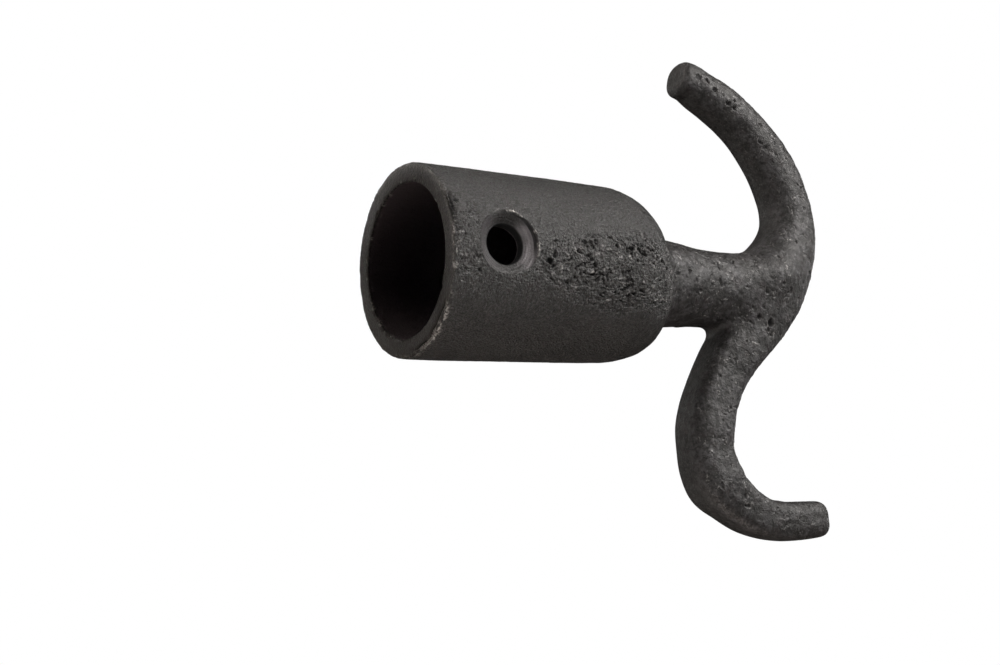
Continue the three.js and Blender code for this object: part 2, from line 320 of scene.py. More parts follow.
def bar_field(x, y, z):
    off, a, b, beyond, p = (look_up(t, x, z) for t in (bar_off, bar_a, bar_b, bar_beyond, bar_power))
    rho = (np.abs(off / a) ** p + np.abs(y / b) ** p) ** (1 / p)
    f = (rho - 1) * np.minimum(a, b)
    # The pull tip is cut flat, the push tip is blunt and rounded.
    pull = x < 0
    reach = np.where(pull, 1.0, 2.3)
    edge = np.where(pull, 1.1, 2.3)
    return round_cut(f, beyond - reach, edge)


def hole_field(x, y, z, side, at_z):
    q = np.hypot(x, z - at_z)
    s = y * side
    floor = SINK_Y - (SINK_R - HOLE_R) / math.tan(math.radians(59))
    cone = ((q - HOLE_R) - (s - floor) * math.tan(math.radians(59))) * math.cos(math.radians(59))
    cone = np.maximum(cone, q - SINK_R)
    return np.maximum(np.minimum(q - HOLE_R, cone), 6.0 - s)


def outer_field(x, y, z):
    """The casting before its bore and holes are cut."""
    r = np.hypot(x, y)
    share = np.clip((z - 31.0) / 9.0, 0, 1)
    f = look_up(socket_table, r, z - share * (LEAN[0] * x + LEAN[1] * y))
    xc = np.interp(z, NECK[:, 0], NECK[:, 1])
    na = np.interp(z, NECK[:, 0], NECK[:, 2])
    nb = np.interp(z, NECK[:, 0], NECK[:, 3])
    neck = (
        (np.abs((x - xc) / na) ** 2.15 + np.abs(y / nb) ** 2.15) ** (1 / 2.15) - 1
    ) * np.minimum(na, nb)
    neck = round_cut(neck, np.maximum(38.0 - z, z - 68.0), 2.0)
    f = round_union(f, neck, 1.6)
    radius = 2.3 + 3.6 * step(-x, -4.0, 2.0)
    return round_union(f, bar_field(x, y, z), radius)


def casting_parts(P):
    x, y, z = P[:, 0], P[:, 1], P[:, 2]
    outer = outer_field(x, y, z)
    bore = look_up(bore_table, np.hypot(x, y), z)
    front = hole_field(x, y, z, -1, FRONT_HOLE_Z)
    rear = hole_field(x, y, z, 1, SCREW_Z)
    return outer, bore, front, rear


def casting(P):
    outer, bore, front, rear = casting_parts(P)
    f = round_cut(outer, -bore, 0.3)
    f = round_cut(f, -front, 0.14)
    return round_cut(f, -rear, 0.14)


# Single large pits: x, y, z, radius, depth, stretch along z.
BIG_PITS = [
    (2.0, -13.6, 15.5, 0.55, 0.7, 1.1), (2.7, -13.4, 16.3, 0.4, 0.5, 1.2), (1.2, -13.8, 16.4, 0.36, 0.4, 1.1),
    (2.6, -13.4, 18.3, 0.4, 0.3, 1.6), (1.2, -13.7, 14.2, 0.35, 0.25, 1.2), (0.1, -6.9, 46.2, 0.45, 0.3, 1.0),
    (2.7, -6.2, 48.3, 0.45, 0.32, 1.2), (1.4, -6.6, 47.4, 0.32, 0.2, 1.0), (6.2, -4.7, 60.8, 0.5, 0.45, 1.0),
    (6.9, -4.9, 63.1, 0.72, 0.6, 0.9), (7.9, -4.6, 62.6, 0.4, 0.35, 1.1), (8.8, -4.4, 62.9, 0.4, 0.3, 1.1),
    (-33.4, -2.7, 54.7, 0.75, 0.35, 1.1), (-32.9, -3.0, 56.2, 0.3, 0.28, 1.2), (-31.6, -3.2, 57.4, 0.55, 0.4, 1.0),
    (-29.6, -3.4, 59.9, 0.42, 0.45, 1.1), (-28.7, -3.5, 61.0, 0.45, 0.45, 1.0), (-30.0, -3.4, 61.0, 0.3, 0.3, 1.0),
    (-28.0, -3.5, 60.2, 0.3, 0.3, 1.3), (23.0, -4.2, 51.4, 0.4, 0.28, 1.0), (-13.0, 4.0, 73.5, 0.5, 0.35, 1.2),
    (9.5, 9.8, 24.0, 0.6, 0.4, 1.1), (-8.5, 10.8, 29.5, 0.5, 0.35, 1.0), (31.0, 4.2, 52.0, 0.5, 0.35, 1.0),
    (-25.0, 3.5, 66.8, 0.45, 0.3, 1.0), (-5.4, -12.9, 1.2, 0.35, 0.3, 1.2), (4.0, -13.4, 4.0, 0.4, 0.35, 1.1),
    (-0.6, -14.0, 1.9, 0.35, 0.3, 1.1), (2.4, -13.8, 3.1, 0.32, 0.3, 1.3), (-2.6, -13.7, 2.8, 0.3, 0.25, 1.2),
]  # fmt: skip


def regions(P):
    """Where on the casting each point is, as shares from 0 to 1."""
    x, y, z = P[:, 0], P[:, 1], P[:, 2]
    outer, bore, front, rear = casting_parts(P)
    r = np.hypot(x, y)
    angle = np.degrees(np.arctan2(x, -y))  # 0 faces -Y, growing towards +X
    on = {"outer": outer, "front": front, "rear": rear, "radius": r, "angle": angle}
    socket = on["socket"] = 1 - step(z, 41.6, 43.0)
    on["skin"] = step(-np.abs(outer), -0.35, -0.1)
    on["bore"] = step(-np.abs(bore), -0.4, -0.15) * step(z, 0.05, 0.6) * (z < 35)
    on["sink"] = np.maximum(step(-np.abs(front), -0.1, -0.03), step(-np.abs(rear), -0.1, -0.03))
    on["rim"] = step(-z, -0.1, -0.03)
    # The coarse band along the front of the socket, widening from the hole to the shoulder.
    widen = step(z, 14.0, 27.0)
    edge = 5.0 * noise(P, 3.0, 21)
    on["band"] = (
        socket
        * step(angle + edge, -5.0 - 14 * widen, 5.0 - 8 * widen)
        * step(-angle + edge, -(27.0 + 20 * widen), -(15.0 + 15 * widen))
        * step(z, 12.5, 15.5)
    )
    on["by_rim"] = socket * step(angle + edge, -34, -20) * step(-angle + edge, -26, -12) * step(-z, -5.6, -3.2)
    return on


def surface_marks(P):
    """How far the real surface lies inside (+) or outside (-) the ideal one, with the marks that colour it."""
    x, y, z = P[:, 0], P[:, 1], P[:, 2]
    on = regions(P)
    r, angle, socket, skin, rim = on["radius"], on["angle"], on["socket"], on["skin"], on["rim"]
    front, rear, sink, in_bore = on["front"], on["rear"], on["sink"], on["bore"]
    near_hole = np.maximum(step(-front, -0.9, -0.1), step(-rear, -0.9, -0.1))
    flat = (1 - rim) * (1 - sink)

    patch = fractal(P, 7.0, 3, 11)  # slow patches that group the pits
    streak = on["band"] * step(angle, 12, 26) * step(z, 20, 28)
    below = socket * step(angle, 24, 42) * step(-angle, -90, -60) * 0.3
    arms = (1 - socket) * (0.30 + 0.28 * step(patch, -0.1, 0.35)) * step(-y, -0.5, 2.0)
    neck = step(z, 42.5, 44.0) * (1 - step(z, 52.0, 56.0)) * (np.abs(x) < 9)
    other = 0.14 + 0.2 * step(patch, 0.05, 0.45)
    coarse = np.maximum.reduce([on["band"], 0.85 * on["by_rim"], below, arms, other])
    coarse = np.clip(coarse * (1 - 0.35 * neck), 0, 1) * skin * flat

    warped = P + 0.3 * np.stack([noise(P, 0.9, 31), noise(P, 0.9, 32), noise(P, 0.9, 33)], 1)
    long = warped * np.array([1.0, 1.0, 0.45])  # drawn out along Z
    rough = np.maximum(on["band"], 0.75 * on["by_rim"]) * skin * flat * (1 - 0.6 * near_hole)
    rough = rough * step(rough + 0.55 * fractal(P, 1.6, 2, 56), 0.1, 0.75)
    cover = np.where(rough > 0.05, 0.3, coarse) * (0.72 + 0.25 * patch)
    big, brim = dents(warped, 0.62, cover, 41, True)
    small, brim_small = dents(warped, 0.36, 0.2 + 0.6 * coarse, 51, True)
    pit = np.maximum(0.4 * big * (0.4 + 0.6 * socket), 0.2 * small * flat * (0.2 + 0.8 * socket))
    # brim: the pits' edges, lightened as a painted highlight.
    brim = np.maximum(brim, brim_small) * step(coarse, 0.25, 0.7) * step(noise(P, 0.5, 57), -0.3, 0.2)
    proud = np.zeros(len(P))
    crusted = np.zeros(len(P))
    deep = np.zeros(len(P))
    some = rough > 0.02
    if some.any():
        sunk = np.clip(0.10 + 0.28 * fractal(P[some], 2.2, 2, 58), 0.0, 0.5) * step(rough[some], 0.1, 0.8)
        d1, p1, t1 = crust(warped[some], 0.40, 151, sunk)
        d2, p2, t2 = crust(long[some], 0.31, 161, sunk * 0.9)
        d3, p3, t3 = crust(P[some], 0.27, 171, sunk * 0.4)
        k = streak[some]
        crusted[some] = (d1 * (1 - k) + d2 * k + 0.4 * d3) * step(rough[some], 0.02, 0.5)
        deep[some] = np.clip(p1 * (1 - k) + p2 * k + 0.3 * p3, 0, 1) * rough[some]
        # proud: the tops of standing grains, lightened as a painted highlight.
        proud[some] = np.clip(t1 * (1 - k) + t2 * k, 0, 1) * rough[some] * step(noise(P[some], 0.9, 59), -0.15, 0.35)
    for px, py, pz, pr, depth, stretch in BIG_PITS:
        d2 = ((warped[:, 0] - px) ** 2 + (warped[:, 1] - py) ** 2 + ((warped[:, 2] - pz) / stretch) ** 2) / pr**2
        pit = np.maximum(pit, depth * np.clip(1 - d2, 0, 1) ** 0.7)
        # A ring of painted highlight round the larger pits.
        if pr > 0.45:
            brim = np.maximum(brim, 0.3 * np.exp(-(((np.sqrt(d2) - 1.2) / 0.22) ** 2)))
    pit *= skin
    # A strip of shallow hollows, most of a millimetre across, along the fronts of the arms.
    strip = (1 - socket) * step(-y, 1.8, 3.4) * skin
    hollow, lips = dents(warped, 0.8, 0.63 + 0.3 * patch, 121, True)
    hollow, lips = strip * hollow, strip * lips * step(noise(P, 1.3, 123), -0.35, 0.25)
    # Along the strip the hollows' lips carry the painted highlight.
    brim = np.maximum(brim * (1 - 0.7 * strip), 0.85 * lips)

    # Sand-cast grain and slow waves on the skin, rougher inside the bore.
    calm = 0.2 + 0.8 * socket
    amount = (0.022 + 0.05 * coarse) * flat * calm + 0.05 * in_bore + 0.004 * rim
    shift = fractal(P, 0.9, 3, 61) * amount + noise(P, 0.38, 65) * (0.012 + 0.02 * coarse) * flat * calm
    slow = 0.07 * socket + 0.04 * (1 - socket)
    shift += fractal(P, 9.0, 2, 71) * slow * flat * (1 - near_hole) * (1 - in_bore)
    shift += on["band"] * 0.06 * noise(P, 1.9, 75) + np.maximum(pit, crusted)
    # Lumps and shallow hollows on the fronts of the arms.
    front_face = (1 - socket) * step(-y, 0.3, 2.4) * skin
    lumps = fractal(warped, 1.5, 2, 77)
    shift += 0.19 * hollow - 0.03 * lips
    shift += front_face * (0.11 * lumps + 0.05 * np.abs(noise(warped, 1.2, 79)))

    # Parting line of the two-part mould: a thin ragged ridge in the plane of the arms.
    ragged = 0.5 + 0.5 * noise(P, 1.1, 81)
    side = np.where(z > 43, 1.0, step(r, 12.6, 13.2)) * step(z, 0.8, 2.0)
    flash = np.exp(-((y / 0.3) ** 2)) * skin * side * step(np.abs(x), 1.0, 3.0)
    strong = step(x, 4.5, 6.0) * step(z, 43.0, 44.5) * (1 - step(z, 52.5, 54.0)) * (x < 9)
    shift -= flash * ragged * (0.04 + 0.34 * strong)

    # Edge of the mouth: uneven, chipped on the inside, with a gouge and a torn lip outside.
    around = np.stack([np.radians(angle) * 13.5 / 2.4, r, z], 1)  # stretched round the mouth
    outer_edge = step(-z, -1.0, -0.15) * step(r, 13.1, 13.75)
    inner_edge = step(-z, -0.9, -0.1) * step(-r, -11.9, -11.4) * (z < 1.5)
    shift += outer_edge * (0.05 + 0.09 * fractal(P, 1.4, 3, 91) + 0.2 * dents(P, 1.0, 0.35, 93))
    chips = dents(P, 1.3, 0.75 * inner_edge, 101) * inner_edge
    shift += 0.45 * chips + inner_edge * 0.05 * np.abs(noise(P, 0.9, 95))
    gouge = step(-z, -1.0, -0.5) * step(r, 13.2, 13.5) * step(angle, -38, -22) * step(-angle, 0, 18)
    gouge *= 0.5 + 0.5 * step(noise(around, 1.1, 94), -0.3, 0.3)
    shift += gouge * (0.36 + 0.12 * noise(P, 1.0, 96))
    torn = step(angle, 33, 43) * step(-angle, -92, -76) * step(-z, -1.5, -0.4)
    crack = np.exp(-(((r - 13.2 - 0.25 * noise(P, 1.7, 97)) / 0.16) ** 2)) * rim
    shift += torn * (crack * 0.3 + outer_edge * 0.3 * np.maximum(noise(P, 0.7, 98), 0))

    # Burr and drill rings of the countersunk holes, with their painted shadow and painted highlights.
    shade = np.zeros(len(P))
    burr = np.zeros(len(P))
    drill_rings_and_highlight = np.zeros(len(P))
    for hole, side_sign, at_z in ((front, -1, FRONT_HOLE_Z), (rear, 1, SCREW_Z)):
        q = np.hypot(x, z - at_z)
        here = (y * side_sign > 9) & (q < 6)
        cone = here & (q > HOLE_R + 0.1) & (q < SINK_R - 0.05) & (np.abs(hole) < 0.3)
        shift += np.where(cone, 0.02 * np.sin(q * 2 * np.pi / 0.44) + 0.03 * noise(P, 1.3, 103), 0)
        lip = np.exp(-(((q - SINK_R - 0.16) / 0.16) ** 2)) * here * skin
        quarter = step((z - at_z - x * 1.0) / (q + 0.1), 0.3, 1.1)  # stronger towards the shoulder and -X
        shift -= lip * (0.03 + 0.16 * quarter * (0.7 + 0.5 * noise(P, 0.9, 99)) + 0.04 * noise(P, 1.2, 105))
        # Painted shadow: a dark crescent just inside the sink's edge towards the shoulder, where the undercut wall
        # lies in shade.
        shade += here * quarter * step(q, SINK_R - 0.42, SINK_R - 0.3) * step(-q, -SINK_R - 0.12, -SINK_R - 0.02)
        # The burr on that quarter is painted as bright bare metal, a painted highlight.
        burr += lip * quarter * step(noise(P, 0.6, 107), -0.2, 0.3)
        # The sink is painted lighter towards the shoulder and a little lighter towards the mouth, a painted highlight,
        # with rings left by the drill.
        turn = np.arctan2(x, z - at_z)
        rings = noise(np.stack([np.cos(turn) * 1.6, np.sin(turn) * 1.6, q * 2.6], 1), 0.6, 109)
        highlight_side = step((0.97 * (z - at_z) + 0.02 * x) / (q + 0.1), 0.35, 0.9)
        left = step(-(z - at_z) / (q + 0.1), 0.2, 0.8)
        tone = 0.03 + 0.22 * left + 0.9 * highlight_side * (0.75 + 0.6 * rings)
        drill_rings_and_highlight += here * np.clip(tone, 0, 1)

    speck = np.clip(0.25 + coarse, 0, 1) * skin
    # Wear on the mouth's edges, plus the burrs' painted highlight.
    wear = np.clip(
        outer_edge
        * step(noise(around, 0.42, 111) + 0.5 * noise(P, 0.3, 113) + 0.45 * torn, 0.05, 0.4)
        * (0.25 + 0.75 * np.maximum(torn, 0.8 * on["by_rim"]))
        * (1 - gouge)
        + inner_edge * step(noise(around, 0.5, 112) + 0.6 * noise(P, 0.35, 114), 0.35, 0.8) * 0.5
        + 0.9 * burr,
        0,
        1,
    )
    # Dark lines: the crack and the gouge darkened as painted shade, the sinks' crescent as painted shadow.
    line = np.maximum.reduce([0.8 * torn * crack * rim, gouge, 0.8 * shade])
    marks = {
        # pit: painted shade in the pits, crevices, hollows, crack and gouge, with the sinks' painted shadow.
        "pit": np.clip(np.maximum.reduce([pit / 0.34 * (0.55 + 0.45 * socket), line, deep, 0.75 * hollow]), 0, 1),
        # brim: painted highlight on the edges of pits and hollows and on proud grain tops.
        "brim": np.clip(brim * (1 - step(rough, 0.02, 0.3)) + proud, 0, 1) * skin,
        # lump: the tops of the arms' lumps, for a painted highlight.
        "lump": np.clip(front_face * (0.5 - 0.9 * lumps), 0, 1),
        "coarse": speck,
        "band": on["band"] + 0.8 * on["by_rim"],
        "wear": wear,
        "machined": np.clip(rim + sink, 0, 1),
        "sink": sink,
        "drill_rings_and_highlight": drill_rings_and_highlight,
        "bore": in_bore,
        "arm": 1 - socket,
        "wall": np.clip(step(HOLE_R + 0.25 - np.hypot(x, z - FRONT_HOLE_Z), 0, 0.2) * (y < 0) * (1 - in_bore), 0, 1),
    }
    return shift, marks


# ---- meshing ----------------------------------------------------------------------------------------------


def surface_nets(field, lo, hi, pitch):
    """Quads around the zero surface of field inside a box, vertices as rows in mm."""
    axes = [np.arange(l, h + pitch, pitch) for l, h in zip(lo, hi)]
    shape = tuple(len(a) for a in axes)
    values = np.empty(shape, np.float64)
    Y, Z = np.meshgrid(axes[1], axes[2], indexing="ij")
    yz = np.stack([Y.ravel(), Z.ravel()], 1)
    for i, xv in enumerate(axes[0]):
        P = np.concatenate([np.full((len(yz), 1), xv), yz], 1)
        values[i] = field(P).reshape(shape[1:])
    inside = values < 0
    corner = [(i, j, k) for i in (0, 1) for j in (0, 1) for k in (0, 1)]
    count = sum(
        inside[i : shape[0] - 1 + i, j : shape[1] - 1 + j, k : shape[2] - 1 + k].astype(np.uint8)
        for i, j, k in corner
    )
    active = (count > 0) & (count < 8)
    ids = np.full(active.shape, -1, np.int64)
    cells = np.argwhere(active)
    ids[active] = np.arange(len(cells))
    total = np.zeros((len(cells), 3))
    hits = np.zeros(len(cells))
    for a in range(8):
        for b in range(a + 1, 8):
            ca, cb = np.array(corner[a]), np.array(corner[b])
            if np.abs(ca - cb).sum() != 1:
                continue
            va = values[tuple((cells + ca).T)]
            vb = values[tuple((cells + cb).T)]
            cross = (va < 0) != (vb < 0)
            t = np.where(cross, va / np.where(cross, va - vb, 1), 0)
            point = ca + t[:, None] * (cb - ca)
            total += np.where(cross[:, None], point, 0)
            hits += cross
    start = np.array([a[0] for a in axes])
    verts = start + (cells + total / hits[:, None]) * pitch
    quads = []
    ring = {
        0: [(0, 0, 0), (0, 1, 0), (0, 1, 1), (0, 0, 1)],
        1: [(0, 0, 0), (0, 0, 1), (1, 0, 1), (1, 0, 0)],
        2: [(0, 0, 0), (1, 0, 0), (1, 1, 0), (0, 1, 0)],
    }
    for axis in range(3):
        first = [slice(1, -1)] * 3
        second = [slice(1, -1)] * 3
        first[axis], second[axis] = slice(0, -1), slice(1, None)
        s0, s1 = inside[tuple(first)], inside[tuple(second)]
        at = np.argwhere(s0 != s1)
        out = s0[tuple(at.T)]
        quad = np.stack([ids[tuple((at + np.array(o)).T)] for o in ring[axis]], 1)
        quad[~out] = quad[~out][:, ::-1]
        quads.append(quad)
    quads = np.concatenate(quads)
    return verts, quads[(quads >= 0).all(1)]


def subdivide(verts, quads):
    edges = np.sort(
        np.concatenate([np.stack([quads[:, k], quads[:, (k + 1) % 4]], 1) for k in range(4)]), axis=1
    )
    key = edges[:, 0] * (len(verts) + 1) + edges[:, 1]
    unique, inverse = np.unique(key, return_inverse=True)
    a, b = unique // (len(verts) + 1), unique % (len(verts) + 1)
    middle = (verts[a] + verts[b]) / 2
    centre = verts[quads].mean(1)
    n, m = len(verts), len(quads)
    mid = [n + inverse[k * m : (k + 1) * m] for k in range(4)]
    c = n + len(unique) + np.arange(m)
    new = [
        np.stack([quads[:, k], mid[k], c, mid[(k - 1) % 4]], 1) for k in range(4)
    ]
    return np.concatenate([verts, middle, centre]), np.concatenate(new)


def refine(verts, quads, chosen):
    """Splits the chosen quads in four. A neighbour takes the new points into its own outline, so nothing opens."""
    n = len(verts)
    a, b = quads, np.roll(quads, -1, axis=1)
    key = np.minimum(a, b) * n + np.maximum(a, b)
    split = np.unique(key[chosen])
    at = np.minimum(np.searchsorted(split, key), len(split) - 1)
    has = split[at] == key
    mid = n + at
    centre = n + len(split) + np.arange(chosen.sum())
    points = np.concatenate([verts, (verts[split // n] + verts[split % n]) / 2, verts[quads[chosen]].mean(1)])
    q, m = quads[chosen], mid[chosen]
    faces = np.concatenate([np.stack([q[:, k], m[:, k], centre, m[:, (k - 1) % 4]], 1) for k in range(4)]).tolist()
    plain = ~chosen & ~has.any(1)
    faces += quads[plain].tolist()
    for k in np.flatnonzero(~chosen & has.any(1)):
        loop = []
        for c in range(4):
            loop.append(int(quads[k, c]))
            if has[k, c]:
                loop.append(int(mid[k, c]))
        faces.append(loop)
    return points, faces


def pull_on(field, P, rounds, limit):
    """Moves points along the field's slope until they lie on its surface, and returns the slope too."""
    e = 0.02
    slope = None
    for _ in range(rounds):
        f0 = field(P)
        slope = np.stack([(field(P + d) - f0) / e for d in np.eye(3) * e], 1)
        size = np.linalg.norm(slope, axis=1)
        slope /= np.maximum(size, 1e-6)[:, None]
        P = P - slope * np.clip(f0 / np.maximum(size, 0.3), -limit, limit)[:, None]
    return P, slope


def to_object(name, verts, faces, marks):
    mesh = bpy.data.meshes.new(name)
    metres = (verts + np.array([0, 0, MOUTH_Z])) / 1000.0
    mesh.from_pydata(metres.tolist(), [], faces)
    mesh.update()
    for key, value in marks.items():
        layer = mesh.attributes.new(key, "FLOAT", "POINT")
        layer.data.foreach_set("value", value.astype(np.float32))
    mesh.shade_smooth()
    obj = bpy.data.objects.new(name, mesh)
    bpy.context.scene.collection.objects.link(obj)
    return obj


PITCH = 0.45
verts, quads = surface_nets(casting, (-40, -15.2, -1.2), (44, 15.2, 81), PITCH)
verts, _ = pull_on(casting, verts, 1, 0.3)
verts, quads = subdivide(verts, quads)
verts, _ = pull_on(casting, verts, 1, 0.3)
middle = verts[quads].mean(1)
on = regions(middle)
hole_gap = np.minimum(
    np.hypot(middle[:, 0], middle[:, 2] - FRONT_HOLE_Z) + 20 * (middle[:, 1] > 0),
    np.hypot(middle[:, 0], middle[:, 2] - SCREW_Z) + 20 * (middle[:, 1] < 0),
)
fine = (
    (np.maximum(on["band"], on["by_rim"]) > 0.02)
    | ((middle[:, 1] < -2.0) & (middle[:, 2] > 42.0))
    | ((middle[:, 2] < 1.3) & (on["bore"] < 0.9))
    | ((hole_gap < 5.6) & (on["radius"] > 10.5))
)
verts, faces = refine(verts, quads, fine)
verts, slope = pull_on(casting, verts, 2, 0.3)
shift, marks = surface_marks(verts)
verts = verts - slope * shift[:, None]
lo = np.array(cast_lo) * 1000 - np.array([0, 0, MOUTH_Z])
hi = np.array(cast_hi) * 1000 - np.array([0, 0, MOUTH_Z])
verts = np.clip(verts, lo, hi)
hook = to_object("hook_iron", verts, faces, marks)

# ---- the wood screw ---------------------------------------------------------------------------------------

HEAD_R, HEAD_RIM, SHANK_R, ROOT_R, SCREW_LONG = 3.9, 0.3, 2.0, 1.42, 12.0
SLOT_HALF, SLOT_DEEP, THREAD_PITCH = 0.5, 0.95, 1.75


def screw(P):
    x, z = P[:, 0] - SCREW_X, P[:, 2] - SCREW_Z
    s = FACE_Y - P[:, 1]  # depth below the head's face
    q = np.hypot(x, z)
    turn = np.arctan2(z, x) / (2 * math.pi)
    head = ((q - HEAD_R) + np.clip(s - HEAD_RIM, 0, None)) * 0.707
    head = np.maximum(np.maximum(head, q - HEAD_R), s - 2.6)
    taper = np.clip((SCREW_LONG - s) / 4.2, 0, 1)
    core_r = 0.12 + (ROOT_R - 0.12) * taper**0.85
    crest_r = 0.12 + (SHANK_R - 0.12) * np.clip((SCREW_LONG - s) / 3.4, 0, 1) ** 0.8
    phase = (s / THREAD_PITCH - turn) % 1.0
    ridge = np.clip(1 - np.abs(phase - 0.5) / 0.3, 0, 1) ** 1.3
    ridge *= step(s, 4.1, 5.2)
    plain = 1 - step(s, 4.3, 4.9)
    radius = np.maximum(core_r + (crest_r - core_r) * ridge, plain * SHANK_R)
    shank = (q - radius) * 0.8
    f = round_union(head, np.maximum(shank, s - SCREW_LONG), 0.25)
    f = round_cut(f, -s, 0.12)
    slot = np.maximum(np.abs(x) - SLOT_HALF, s - SLOT_DEEP)
    return round_cut(f, -slot, 0.07)


screw_pitch = 0.15
sv, sq = surface_nets(
    screw,
    (SCREW_X - 4.3, FACE_Y - SCREW_LONG - 0.4, SCREW_Z - 4.3),
    (SCREW_X + 4.3, FACE_Y + 0.4, SCREW_Z + 4.3),
    screw_pitch,
)
sv, _ = pull_on(screw, sv, 1, 0.1)
sv, sq = subdivide(sv, sq)
sv, s_slope = pull_on(screw, sv, 2, 0.1)
depth = FACE_Y - sv[:, 1]
sx, sz = sv[:, 0] - SCREW_X, sv[:, 2] - SCREW_Z
sr = np.hypot(sx, sz)
sv = sv - s_slope * (0.012 * fractal(sv, 0.5, 2, 201) + 0.02 * np.clip(noise(sv, 1.4, 203), 0, 1))[:, None]
slo = np.array(screw_lo) * 1000 - np.array([0, 0, MOUTH_Z])
shi = np.array(screw_hi) * 1000 - np.array([0, 0, MOUTH_Z])
sv[:, 1] = np.clip(sv[:, 1], slo[1], shi[1])
slot_edge = np.exp(-(((np.abs(sx) - SLOT_HALF - 0.05) / 0.16) ** 2)) * step(-depth, -0.35, -0.05)
head_edge = step(sr, HEAD_R - 0.35, HEAD_R - 0.05) * step(-depth, -0.6, -0.1)
screw_marks = {
    "wear": np.clip(slot_edge * (0.5 + 0.5 * noise(sv, 0.8, 205)) + 0.6 * head_edge * step(noise(sv, 1.0, 207), 0.0, 0.6), 0, 1),
    "slot": ((np.abs(sx) < SLOT_HALF + 0.02) & (depth > 0.05) & (depth < SLOT_DEEP + 0.1)).astype(float),
    "thread": step(depth, 4.2, 5.0) * step(sr, ROOT_R + 0.2, SHANK_R - 0.1),
}
screw_piece = to_object("wood_screw", sv, sq.tolist(), screw_marks)

# ---- materials --------------------------------------------------------------------------------------------


class Nodes:
    """Short names for building a material's node tree."""

    def __init__(self, name):
        self.m = bpy.data.materials.new(name)
        self.m.use_nodes = True
        self.t = self.m.node_tree
        self.t.nodes.clear()
        self.out = self.t.nodes.new("ShaderNodeOutputMaterial")

    def set(self, socket, value):
        if isinstance(value, bpy.types.NodeSocket):
            self.t.links.new(value, socket)
        else:
            socket.default_value = value

    def node(self, kind, **inputs):
        n = self.t.nodes.new(kind)
        for key, value in inputs.items():
            self.set(n.inputs[key.replace("_", " ")], value)
        return n

    def mark(self, name):
        n = self.t.nodes.new("ShaderNodeAttribute")
        n.attribute_name = name
        return n.outputs["Fac"]

    def math(self, op, a, b=0.0, clamp=False):
        n = self.t.nodes.new("ShaderNodeMath")
        n.operation = op
        n.use_clamp = clamp
        self.set(n.inputs[0], a)
        self.set(n.inputs[1], b)
        return n.outputs[0]

    def mix(self, fac, a, b, blend="MIX"):
        n = self.t.nodes.new("ShaderNodeMix")
        n.data_type = "RGBA"
        n.blend_type = blend
        self.set(n.inputs[0], fac)
        self.set(n.inputs[6], a)
        self.set(n.inputs[7], b)
        return n.outputs[2]

    def blend(self, fac, a, b):
        n = self.t.nodes.new("ShaderNodeMix")
        n.data_type = "FLOAT"
        self.set(n.inputs[0], fac)
        self.set(n.inputs[2], a)
        self.set(n.inputs[3], b)
        return n.outputs[0]

    def noise(self, coords, scale, detail=2.0, rough=0.5):
        n = self.t.nodes.new("ShaderNodeTexNoise")
        self.set(n.inputs["Vector"], coords)
        n.inputs["Scale"].default_value = scale
        n.inputs["Detail"].default_value = detail
        n.inputs["Roughness"].default_value = rough
        return n.outputs["Fac"]

    def voronoi(self, coords, scale, feature="F1", output="Distance"):
        n = self.t.nodes.new("ShaderNodeTexVoronoi")
        n.feature = feature
        self.set(n.inputs["Vector"], coords)
        n.inputs["Scale"].default_value = scale
        return n.outputs[output]

    def range(self, value, lo, hi, to_lo=0.0, to_hi=1.0):
        n = self.t.nodes.new("ShaderNodeMapRange")
        n.interpolation_type = "SMOOTHSTEP"
        self.set(n.inputs["Value"], value)
        n.inputs["From Min"].default_value = lo
        n.inputs["From Max"].default_value = hi
        n.inputs["To Min"].default_value = to_lo
        n.inputs["To Max"].default_value = to_hi
        return n.outputs[0]

    def bump(self, height, strength, distance, normal=None):
        n = self.t.nodes.new("ShaderNodeBump")
        self.set(n.inputs["Height"], height)
        n.inputs["Strength"].default_value = strength
        n.inputs["Distance"].default_value = distance
        if normal is not None:
            self.set(n.inputs["Normal"], normal)
        return n.outputs[0]


def grey(v, warm=0.0):
    return (v * (1 + warm), v, v * (1 - warm), 1)


